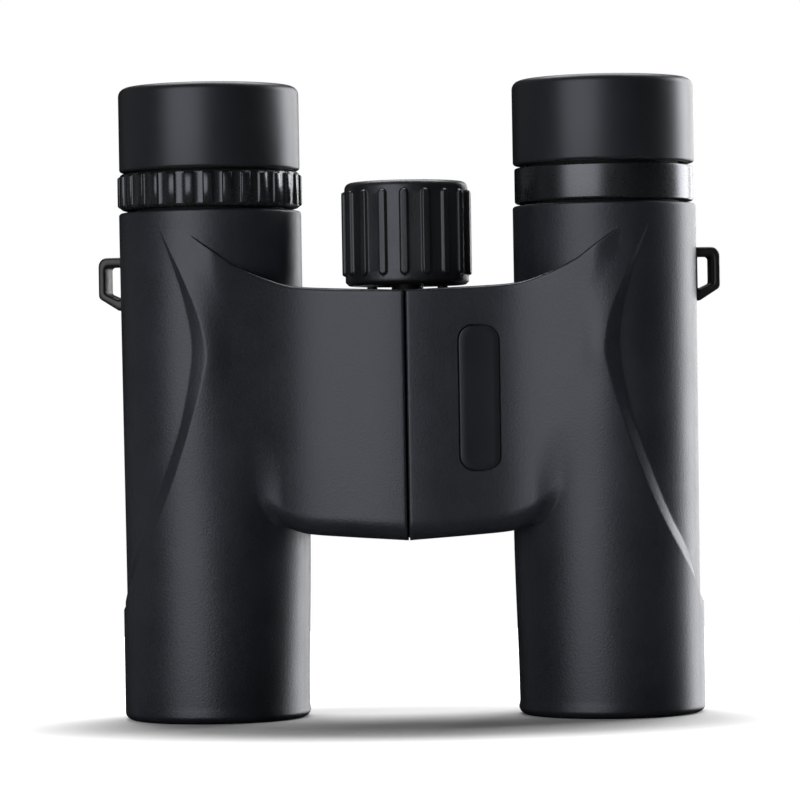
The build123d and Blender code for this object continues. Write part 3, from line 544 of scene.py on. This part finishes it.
def barrel_surface(kind, share, angle, z):
    """Radius of the barrel below and above the bridge, with the grip recess."""
    plain = tube_radius(z) + draft(angle, z)
    raised = curve(RAISED_RADIUS, z)
    if kind in ("front", "back"):
        return mix(plain, raised, ramp(front_angle(angle), INNER_END, curve(CREASE_RAISED, z)))
    if kind == "front_bevel":
        return mix(raised, curve(RECESS_RADIUS, z), bevel(share))
    if kind == "back_bevel":
        return mix(raised, curve(RECESS_RADIUS, z), bevel(1 - share))
    if kind == "recess":
        return curve(RECESS_RADIUS, z)
    return plain


def bevel(share):
    """Straight ramp with its two corners eased."""
    ease = 0.14
    if share < ease:
        return share * share / (2 * ease * (1 - ease))
    if share > 1 - ease:
        return 1 - (1 - share) ** 2 / (2 * ease * (1 - ease))
    return (share - ease / 2) / (1 - ease)


def bottom_fade(kind, share, angle, z, lower):
    """How far the raised surface has sunk into the plain barrel, above the lower shoulder."""
    if kind == "bridge":
        across = ramp(bridge_point(kind, share, 0)[0], *SINK_SPAN)
    elif kind == "back":
        across = ramp(front_angle(angle), BACK_START, BACK_START + 20)
    else:
        across = 1.0 if kind == "front" else 0.0
    return across * ramp(z, lower + SINK_REACH, lower)


def soft_max(first, second, width):
    """The larger of two values, eased where they are close."""
    near = max(width - abs(first - second), 0.0)
    return max(first, second) + near * near / (4 * width)


def saddle_surface(kind, share, angle, z, lower, upper):
    """Radius of the raised saddle between the two shoulders."""
    low_barrel = barrel_surface(kind, share, angle, z)
    if kind not in ("front", "back"):
        return low_barrel
    ahead = front_angle(angle)
    raised_angle = curve(CREASE_RAISED, z)
    start = TANGENT if kind == "front" else BACK_START
    radius = mix(SADDLE, curve(RAISED_RADIUS, z), ramp(ahead, start, raised_angle))
    # under the upper shoulder, the step down to the barrel fades away outwards
    top_step = mix(SADDLE + STEP_EXTRA, TUBE, ramp(ahead, -8, 12))
    near_top = ramp(z, upper - 10, upper) * ramp(ahead, start, start + STEP_FADE)
    near_top *= ramp(ahead, raised_angle, raised_angle - STEP_FADE)
    radius = mix(radius, top_step, near_top)
    return mix(radius, low_barrel, bottom_fade(kind, share, angle, z, lower))


def set_back(distance, rounding):
    """How far a rounded edge stands back, at a distance from the end of the rounding."""
    if distance >= rounding:
        return 0.0
    return rounding - sqrt(rounding**2 - (rounding - distance) ** 2)


BARREL_KINDS = ("front", "front_bevel", "recess", "back_bevel", "back")


def armour_point(kind, share, z, lower, upper, bridge):
    """Point of the outer surface at a height. bridge is true between the two shoulders."""
    angle = column_angle(kind, share, z)
    floor = barrel_surface(kind, share, angle, z)
    if not bridge:
        return barrel_point(angle, floor)
    inset = max(set_back(z - lower, lower_rounding(kind, share)), set_back(upper - z, SHOULDER_EDGE))
    if kind in BARREL_KINDS:
        saddle = saddle_surface(kind, share, angle, z, lower, upper)
        return barrel_point(angle, max(saddle - inset, floor))
    x, y = bridge_point(kind, share, inset)
    reach = hypot(x - AXIS_X, y)
    if kind != "bridge":
        return (x, y) if reach > floor else barrel_point(angle, floor)
    reach = mix(reach, floor, bottom_fade(kind, share, angle, z, lower))
    # a sunk point stays on its column, so that the rows don't fold
    outer_angle = -degrees(atan2(AXIS_X - x, -y))
    angle = mix(angle if angle < 180 else angle - 360, outer_angle, ramp(reach - floor, 0, COLUMN_HOLD))
    # the inner corner between bridge and barrel is eased where the lower edge runs out
    eased = ramp(z - lower, 0, 1.5) * ramp(z - lower, 6, 4)
    eased *= ramp(bridge_point(kind, share, 0)[0], *CORNER_SPAN)
    return barrel_point(angle, soft_max(reach, floor, CORNER_EASE * eased + LEAST_EASE))


def lower_rounding(kind, share):
    """Rounding of the lower edge on a column."""
    if kind in BARREL_KINDS:
        return BARREL_EDGE
    if kind == "bridge":
        return mix(BRIDGE_EDGE, BARREL_EDGE, ramp(share, 0.84, 0.94))
    if kind in ("seam", "edge"):
        return BRIDGE_EDGE
    return BACK_EDGE


def shoulder_heights(kind, share):
    """Heights of the two shoulders on a column: lower and upper on the bridge, then on the barrel."""
    low_middle, high_middle = 38, 85  # heights in the middle of each shoulder's rise
    low_x = barrel_point(column_angle(kind, share, low_middle), SADDLE)[0]
    high_x = barrel_point(column_angle(kind, share, high_middle), SADDLE)[0]
    on_barrel = (curve(LOWER_SHOULDER, low_x), curve(UPPER_SHOULDER, high_x))
    if kind in BARREL_KINDS:
        return (*on_barrel, *on_barrel)
    x = bridge_point(kind, share, 0)[0]
    lower, upper = curve(LOWER_SHOULDER, x), curve(UPPER_SHOULDER, x)
    sunk = ramp(x, *HEIGHT_SPAN) if kind == "bridge" else 0.0
    return (lower, upper, mix(on_barrel[0], lower, sunk), on_barrel[1])


def armour_rows(columns):
    """Rows of the whole closed skin: up the outside, then down the inside."""
    heights = [shoulder_heights(kind, share) for kind, share in columns]
    rows = []

    def ring(radius, z):
        """Level row round the barrel's axis."""
        rows.append([(*barrel_point(column_angle(kind, share, z), radius), z)
                     for kind, share in columns])

    def outer(height_of, bridge=False):
        """Row of the outer surface. A column's height comes from its shoulders and lower rounding."""
        row = []
        for (kind, share), shoulders in zip(columns, heights):
            lower, upper = shoulders[:2] if bridge else shoulders[2:]
            z = height_of(lower, upper, lower_rounding(kind, share))
            row.append((*armour_point(kind, share, z, lower, upper, bridge), z))
        rows.append(row)

    for turn in spread(0, 90, 7):
        ring(RIM - RIM_EDGE + RIM_EDGE * sin(radians(turn)), RIM_EDGE - RIM_EDGE * cos(radians(turn)))
    # below the bridge, closest where the creases begin
    level_end = 30
    for z in spread(2.4, 20, 20) + spread(20.4, 24, 13) + spread(24.6, level_end, 10):
        outer(lambda lower, upper, rounding: z)
    for share in spread(0.2, 1, 5):
        outer(lambda lower, upper, rounding: mix(level_end, lower, share))
    # the bridge, between the shoulders
    for turn in spread(0, 90, 9):
        outer(lambda lower, upper, rounding: lower + rounding * (1 - cos(radians(turn))), True)
    for share in spread(0, 1, 84)[1:-1]:
        outer(lambda lower, upper, rounding: mix(lower + rounding, upper - SHOULDER_EDGE, share), True)
    for turn in spread(0, 90, 5):
        drop = SHOULDER_EDGE * (1 - sin(radians(turn)))
        outer(lambda lower, upper, rounding: upper - drop, True)
    # above the bridge
    outer_end = ARMOUR_TOP - TOP_EDGE - 0.4
    for share in spread(0, 1, 8):
        outer(lambda lower, upper, rounding: mix(upper, outer_end, share))
    for turn in spread(0, 90, 6):
        ring(TUBE - TOP_EDGE + TOP_EDGE * cos(radians(turn)),
             ARMOUR_TOP - TOP_EDGE + TOP_EDGE * sin(radians(turn)))
    # the inside
    ring(COLLAR_HOLE, ARMOUR_TOP)
    ring(COLLAR_HOLE, ARMOUR_TOP - COLLAR_WALL)
    for z in spread(ARMOUR_TOP - COLLAR_WALL, BORE_HEIGHT, 14):
        ring(INSIDE, z)
    ring(BORE, BORE_HEIGHT)
    ring(BORE, BORE_EDGE)
    ring(BORE + BORE_EDGE * 0.3, BORE_EDGE * 0.3)
    ring(BORE + BORE_EDGE, 0)
    return rows


def build_armour():
    """Left skin, and the right one as its mirror image."""
    rows = armour_rows(section_columns())
    for name, side in SIDES.items():
        own_rows = [[(side * x, y, z) for x, y, z in row] for row in rows]
        piece = torus_mesh(f"{name}_armour_skin", own_rows, ARMOUR_SHARP)
        if name == "left":
            cut_plate_pocket(piece)
        dress(piece, RUBBER, f"{name}_half", f"{name}_armour", slot="armour_rubber")


# ---------------------------------------------------------------- name plate
PLATE_GROOVE = 0.25  # width of the groove round it
PLATE_CORNER = 2.6
PLATE_EDGE = 0.22
PLATE_SUNK = 0.03  # how far its face lies behind the bridge's surface
PLATE_BACK = -13.32
PLATE_TURNS = 12  # steps round a corner
PLATE_STRIPS = 8  # strips across the face
POCKET_FRONT = -18.0  # in front of the whole armour


def pill_outline(margin):
    """Outline of the plate in x and z, grown by a margin: up its right side, then down its left."""
    low, high = box_mm("name_plate")
    radius = PLATE_CORNER + margin
    left, right = low[0] + PLATE_CORNER, high[0] - PLATE_CORNER
    bottom, top = low[2] + PLATE_CORNER, high[2] - PLATE_CORNER
    outline = []
    for turn, middle in ((270, (right, bottom)), (0, (right, top)), (90, (left, top)),
                         (180, (left, bottom))):
        for k in range(PLATE_TURNS + 1):
            outline.append(on_circle(middle, radius, turn + 90 * k / PLATE_TURNS))
        if turn in (0, 180):
            # the short end's straight run
            here, there = (right, left) if turn == 0 else (left, right)
            end = top + radius if turn == 0 else bottom - radius
            for k in range(1, PLATE_STRIPS):
                outline.append((mix(here, there, k / PLATE_STRIPS), end))
    return outline


def cut_plate_pocket(armour):
    """Cut the plate's pocket and groove into the armour, with its floor just behind the plate."""
    outline = pill_outline(PLATE_GROOVE)
    rows = [[(x, y, z) for x, z in outline] for y in (POCKET_FRONT, PLATE_BACK + 0.02)]
    cutter = capped_mesh("pocket_cutter", rows)
    cut = armour.modifiers.new("pocket", "BOOLEAN")
    cut.operation = "DIFFERENCE"
    cut.solver = "EXACT"
    cut.object = cutter
    bpy.context.view_layer.update()
    graph = bpy.context.evaluated_depsgraph_get()
    result = bpy.data.meshes.new_from_object(armour.evaluated_get(graph))
    armour.modifiers.clear()
    armour.data = result
    bpy.data.objects.remove(cutter)
    shade(armour.data, ARMOUR_SHARP)


def plate_y(x):
    return front_y(x) + PLATE_SUNK


def plate_rows():
    """Loops of the plate, from its back to the inner border of its face."""
    rows = [[(x, PLATE_BACK, z) for x, z in pill_outline(0)]]
    corner = PLATE_EDGE * 0.3
    for margin, sunk in ((0, PLATE_EDGE), (-corner, corner), (-PLATE_EDGE, 0), (-1.3, 0)):
        rows.append([(x, plate_y(x) + sunk, z) for x, z in pill_outline(margin)])
    return rows


def build_name_plate():
    """Blank plate that follows the bridge's surface, with a rounded edge."""
    rows = plate_rows()
    vertices = flat_list(rows)
    width = len(rows[0])
    faces = loft_faces(rows) + [tuple(range(width))]
    # The face is a lattice: steps up the plate, each joined across by strips. The last loop holds
    # the steps of the right side, the top's inner points, the left side and the bottom's points.
    steps = 2 * (PLATE_TURNS + 1)
    border = list(range((len(rows) - 1) * width, len(rows) * width))
    right, border = border[:steps], border[steps:]
    top, border = border[:PLATE_STRIPS - 1], border[PLATE_STRIPS - 1:]
    left, bottom = border[:steps][::-1], border[steps:][::-1]
    lattice = []
    for k in range(steps):
        start, end = vertices[right[k]], vertices[left[k]]
        inner = bottom if k == 0 else top
        if 0 < k < steps - 1:
            inner = list(range(len(vertices), len(vertices) + PLATE_STRIPS - 1))
            for strip in range(1, PLATE_STRIPS):
                x = mix(start[0], end[0], strip / PLATE_STRIPS)
                vertices.append((x, plate_y(x), start[2]))
        lattice.append([right[k], *inner, left[k]])
    for lower, upper in zip(lattice, lattice[1:]):
        for c in range(PLATE_STRIPS):
            faces.append((lower[c], upper[c], upper[c + 1], lower[c + 1]))
    piece = make_object("name_plate_face", vertices, faces)
    dress(piece, PLATE_SATIN, "left_half", "name_plate", slot="plate_satin")


# ---------------------------------------------------------------- eyecups, rings and collar
def build_eyecups():
    """Rubber sleeve round the core, turned in over its top to a rounded opening."""
    opening = 11.0
    slope_width, slope_drop, lip_drop = 2.2, 1.2, 1.95
    for name, side in SIDES.items():
        low, high = box_mm(f"{name}_eyecup_rubber")
        bottom, top = low[2] + GAP_LIFT, high[2]
        outer = radius_mm(f"{name}_eyecup_rubber")
        core = radius_mm(f"{name}_eyecup_core")
        rubber = lathe(f"{name}_eyecup_sleeve", (side * AXIS_X, 0), [
            (core, bottom, 0.2), (outer, bottom, 0.5), (outer, top, 1.5),
            (opening + slope_width, top - 0.2, 1.0), (opening, top - slope_drop, 0.4),
            (opening, top - lip_drop, 0), (core, top - lip_drop, 0)])
        dress(rubber, EYECUP_RUBBER, f"{name}_eyecup", f"{name}_eyecup_rubber", slot="eyecup_rubber")


def build_collar():
    """Plain band with its two outer edges rounded."""
    low, high = box_mm("left_collar_ring")
    outer = radius_mm("left_collar_ring")
    bottom, top = low[2] + GAP_LIFT, high[2] + GAP_LIFT
    piece = lathe("left_collar_band", (AXIS_X, 0), [
        (COLLAR_HOLE, bottom, 0), (outer, bottom, 0.45), (outer, top, 0.35), (COLLAR_HOLE, top, 0)])
    dress(piece, COLLAR_GLOSS, "left_half", "left_collar_ring", slot="collar_gloss")


def build_diopter_ring():
    """Thirty flat ribs round the ring, with eased edges and chamfered ends."""
    low, high = box_mm("diopter_ring")
    bottom, top = low[2] + GAP_LIFT, high[2] + GAP_LIFT
    hole, foot = 13.7, 15.6
    valley = 16.45  # radius between the ribs
    rib = 0.42  # height of a rib
    count = 30
    pitch = 360 / count
    first = -7.9  # angle of one rib's middle, which the others follow
    half_rib, ease = 2.95, 0.55  # angles of half a rib's width and of half its slope
    angles = []
    for k in range(count):
        middle = first + pitch * k
        for offset in (-half_rib - ease, -half_rib - ease / 2, -half_rib, -half_rib + ease / 2,
                       -half_rib + ease, 0, half_rib - ease, half_rib - ease / 2, half_rib,
                       half_rib + ease / 2, half_rib + ease, pitch / 2):
            angles.append(middle + offset)

    def rib_height(angle):
        away = abs((angle - first + pitch / 2) % pitch - pitch / 2)
        return smooth((half_rib + ease - away) / (2 * ease))

    # radius, height and share of the rib's height
    sections = [(hole, bottom, 0), (foot, bottom, 0), (valley - 0.4, bottom + 0.15, 0),
                (valley, bottom + 0.5, 0), (valley, bottom + 0.62, 0.6), (valley, bottom + 0.8, 1),
                (valley, top - 0.75, 1), (valley, top - 0.55, 0.6), (valley, top - 0.45, 0),
                (valley - 0.1, top - 0.2, 0), (valley - 0.35, top, 0), (hole, top, 0)]

    def radius_of(index, radius, height, angle):
        return radius + rib * sections[index][2] * rib_height(angle)

    rows = turn_rows([s[:2] for s in sections], (-AXIS_X, 0), angles, radius_of)
    piece = torus_mesh("diopter_ring_ribbed", rows, sharp=50)
    dress(piece, RING_PLASTIC, "diopter", "diopter_ring", slot="ring_plastic")


def build_wheel_grip():
    """Rubber sleeve with long ribs, each with round ends and eased edges."""
    low, high = box_mm("focus_wheel_grip")
    bottom, top = low[2], high[2]
    core_radius = radius_mm("focus_wheel_core")
    core_top = box_mm("focus_wheel_core")[1][2]
    cap_radius = radius_mm("focus_wheel_cap") + 0.06  # with a little clearance
    radius = 11.25  # between the ribs
    rib = 0.6  # height of a rib
    half_width = 0.74
    slope, spill = 0.3, 0.13  # width of a rib's slope, and how much of it lies outside the half width
    count = 18
    pitch = 360 / count
    rib_low, rib_high = bottom + 1.8, top - 1.7
    per_mm = degrees(1 / (radius + rib))
    angles = []
    for k in range(count):
        for away in spread(-0.98, 0.98, 15) + [1.35]:
            angles.append(pitch * k + away * per_mm)
    heights = ([bottom + 0.7, bottom + 1.2] + spread(rib_low - 0.2, rib_low + 1.0, 9)
               + spread(rib_low + 1.6, rib_high - 1.6, 10) + spread(rib_high - 1.0, rib_high + 0.2, 9))
    profile = [(core_radius, bottom), (radius - 0.95, bottom), (radius - 0.55, bottom + 0.08),
               (radius - 0.08, bottom + 0.55)]
    profile += [(radius, z) for z in heights]
    round_top = 1.25
    for turn in spread(0, 90, 7):
        profile.append((radius - round_top + round_top * cos(radians(turn)),
                        top - round_top + round_top * sin(radians(turn))))
    profile += [(cap_radius + 0.25, top), (cap_radius, top - 0.25), (cap_radius, core_top),
                (core_radius, core_top)]

    def radius_of(index, r, z, angle):
        if r < radius - 0.01:
            return r
        across = ((angle + pitch / 2) % pitch - pitch / 2) / per_mm
        beyond = max(rib_low + half_width - z, z - rib_high + half_width, 0.0)
        away = hypot(across, beyond)
        return r + rib * smooth((half_width + spill - away) / slope) ** 0.8

    rows = turn_rows(profile, (0, HINGE_Y), angles, radius_of)
    piece = torus_mesh("focus_wheel_sleeve", rows, sharp=60)
    dress(piece, WHEEL_RUBBER, "focus_drive", "focus_wheel_grip", slot="wheel_rubber")


# ---------------------------------------------------------------- strap lugs
def build_lugs():
    """Closed loop with rounded bars, its foot buried in the armour."""
    turn = radians(12)  # a lug points a little backwards
    foot, skin, reach = 15.6, 17.1, 21.0  # from the barrel's axis
    bar = 1.3  # thickness of the outer bar
    count = 64  # points round the loop
    half, edge = 2.5, 0.4  # half of the lug's depth, and the rounding of its edges
    corner = half - edge * 0.3
    # section of the bar: share of the way to the window, and place in depth
    section = [(0, -half + edge), (0, half - edge), (0.09, corner), (0.26, half), (0.74, half),
               (0.91, corner), (1, half - edge), (1, -half + edge), (0.91, -corner), (0.74, -half),
               (0.26, -half), (0.09, -corner)]
    for name, side in SIDES.items():
        outward = Vector((side * cos(turn), sin(turn), 0))
        along = Vector((-side * sin(turn), cos(turn), 0))
        low, high = box_mm(f"{name}_strap_lug")
        bottom, top = low[2], high[2]
        outer = rounded([(foot, bottom, 0.2), (skin, bottom, 0.6), (reach, bottom + 2.4, 0.9),
                         (reach, top, 1.6), (foot, top, 0.2)], 6)
        inner = rounded([(skin - 0.3, bottom + 1.9, 0.3), (reach - bar, bottom + 3.2, 0.5),
                         (reach - bar, top - 1.7, 0.6), (skin - 0.3, top - 1.7, 0.3)], 6)
        outer = even_points(outer, count)
        inner = best_start(outer, even_points(inner, count))
        rows = []
        for share, place in section:
            row = []
            for (ra, za), (rb, zb) in zip(outer, inner):
                point = Vector((side * AXIS_X, 0, 0)) + outward * mix(ra, rb, share) + along * place
                row.append((point.x, point.y, mix(za, zb, share)))
            rows.append(row)
        piece = torus_mesh(f"{name}_strap_loop", rows, sharp=45)
        dress(piece, LUG_PAINT, f"{name}_half", f"{name}_strap_lug", slot="lug_metal")


def even_points(outline, count):
    """Evenly spaced points along a closed outline."""
    lengths = [0.0]
    closed = outline + outline[:1]
    for a, b in zip(closed, closed[1:]):
        lengths.append(lengths[-1] + hypot(b[0] - a[0], b[1] - a[1]))
    points = []
    index = 0
    for k in range(count):
        target = lengths[-1] * k / count
        while lengths[index + 1] < target:
            index += 1
        share = (target - lengths[index]) / max(lengths[index + 1] - lengths[index], 1e-9)
        a, b = closed[index], closed[index + 1]
        points.append((mix(a[0], b[0], share), mix(a[1], b[1], share)))
    return points


def best_start(outer, inner):
    """The inner loop, started where it lies closest to the outer one all round."""
    def gap(shift):
        moved = inner[shift:] + inner[:shift]
        return sum(hypot(a[0] - b[0], a[1] - b[1]) ** 2 for a, b in zip(outer, moved))
    shift = min(range(len(inner)), key=gap)
    return inner[shift:] + inner[:shift]


build_armour()
build_name_plate()
build_eyecups()
build_collar()
build_diopter_ring()
build_wheel_grip()
build_lugs()


# ---------------------------------------------------------------- floor, lights and camera
FLOOR_SHADE = (0.095, 0.056)  # half width and half depth, in metres, of the part that takes shadow: the ellipse where the floor's painted glow fades out, so it is darker there by painted shade as well as by the cast shadow
FLOOR_FORWARD = 0.014  # and how far its middle lies in front of the object's


def floor_material():
    """White floor. Away from the object it glows as white as the backdrop, so its edge isn't seen. The glow
    is painted light; it fades out towards the middle of an ellipse round the object, so the floor there is
    darker by painted shade as well as by the lamps' shadow.
    """
    material = bpy.data.materials.new("floor_white")
    material.use_nodes = True
    tree = material.node_tree
    shader = tree.nodes["Principled BSDF"]
    shader.inputs["Base Color"].default_value = (0.75, 0.75, 0.75, 1)
    shader.inputs["Roughness"].default_value = 0.6
    shader.inputs["Specular IOR Level"].default_value = 0.1
    shader.inputs["Emission Color"].default_value = (1, 1, 1, 1)
    place = node_of(tree, "ShaderNodeTexCoord")
    squeeze = node_of(tree, "ShaderNodeVectorMath", operation="MULTIPLY_ADD")
    squeeze.inputs[1].default_value = (1 / FLOOR_SHADE[0], 1 / FLOOR_SHADE[1], 0)
    squeeze.inputs[2].default_value = (0, FLOOR_FORWARD / FLOOR_SHADE[1], 0)
    tree.links.new(place.outputs["Object"], squeeze.inputs[0])
    reach = node_of(tree, "ShaderNodeVectorMath", operation="LENGTH")
    tree.links.new(squeeze.outputs[0], reach.inputs[0])
    # painted light: the floor glows white away from the object, and the glow fades out into painted shade
    # in an ellipse round it
    glow = node_of(tree, "ShaderNodeMapRange", interpolation_type="SMOOTHSTEP")
    glow.inputs["From Min"].default_value = 0.45
    glow.inputs["From Max"].default_value = 1.0
    tree.links.new(reach.outputs["Value"], glow.inputs["Value"])
    tree.links.new(glow.outputs["Result"], shader.inputs["Emission Strength"])
    return material


def build_floor():
    """Round floor, left out of reflections, because the backdrop behind it is as well."""
    segments = 96
    radius = 260.0
    vertices = [(radius * sin(2 * pi * k / segments), radius * cos(2 * pi * k / segments), 0)
                for k in range(segments)]
    floor = link_mesh("floor", vertices, [tuple(range(segments))])
    floor.data.materials.append(floor_material())
    floor.visible_glossy = False


def area_light(name, azimuth, elevation, distance, size, power):
    """Softbox aimed at the middle of the object. Azimuth 0 is the front, 90 is +X."""
    data = bpy.data.lights.new(name, "AREA")
    data.shape = "RECTANGLE"
    data.size, data.size_y = size
    data.energy = power
    lamp = bpy.data.objects.new(name, data)
    bpy.context.scene.collection.objects.link(lamp)
    turn, rise = radians(azimuth), radians(elevation)
    target = Vector((0, 0, 0.06))
    away = Vector((sin(turn) * cos(rise), -cos(turn) * cos(rise), sin(rise)))
    lamp.location = target + away * distance
    lamp.rotation_mode = "QUATERNION"
    lamp.rotation_quaternion = away.to_track_quat("Z", "Y")
    lamp.visible_camera = False


def build_lights():
    """Softboxes in front and behind, and a white backdrop that only the camera sees."""
    area_light("key_softbox", -28, 12, 2.0, (1.75, 1.7), 24.0)
    area_light("front_fill", -5, 10, 2.0, (3.0, 2.6), 1.6)
    area_light("left_fill", -108, 10, 2.0, (2.0, 2.0), 1.5)
    area_light("rim_strip", 124, 8, 0.8, (0.42, 0.8), 7.5)
    area_light("gap_strip", 154, 6, 0.9, (0.2, 0.7), 2.0)
    area_light("back_softbox", 178, 66, 1.0, (0.9, 0.6), 11.0)
    world = bpy.data.worlds.new("studio")
    world.use_nodes = True
    backdrop = world.node_tree.nodes["Background"]
    backdrop.inputs["Color"].default_value = (1, 1, 1, 1)
    backdrop.inputs["Strength"].default_value = 1.0
    world.cycles_visibility.diffuse = False
    world.cycles_visibility.glossy = False
    world.cycles_visibility.transmission = False
    bpy.context.scene.world = world


def build_camera():
    """Long lens, level with the middle of the object, a little to its left half and rolled."""
    distance = 0.700
    azimuth = radians(2.4)
    roll = radians(-0.97)
    target = Vector((-0.0018, 0, 0.0575))
    away = Vector((sin(azimuth), -cos(azimuth), 0))
    data = bpy.data.cameras.new("camera")
    data.sensor_width = 36.0
    data.lens = 172.4
    camera = bpy.data.objects.new("camera", data)
    bpy.context.scene.collection.objects.link(camera)
    camera.location = target + away * distance
    camera.rotation_mode = "QUATERNION"
    camera.rotation_quaternion = away.to_track_quat("Z", "Y") @ Quaternion((0, 0, 1), roll)
    bpy.context.scene.camera = camera


build_floor()
build_lights()
build_camera()
bpy.context.scene.view_settings.view_transform = "Standard"
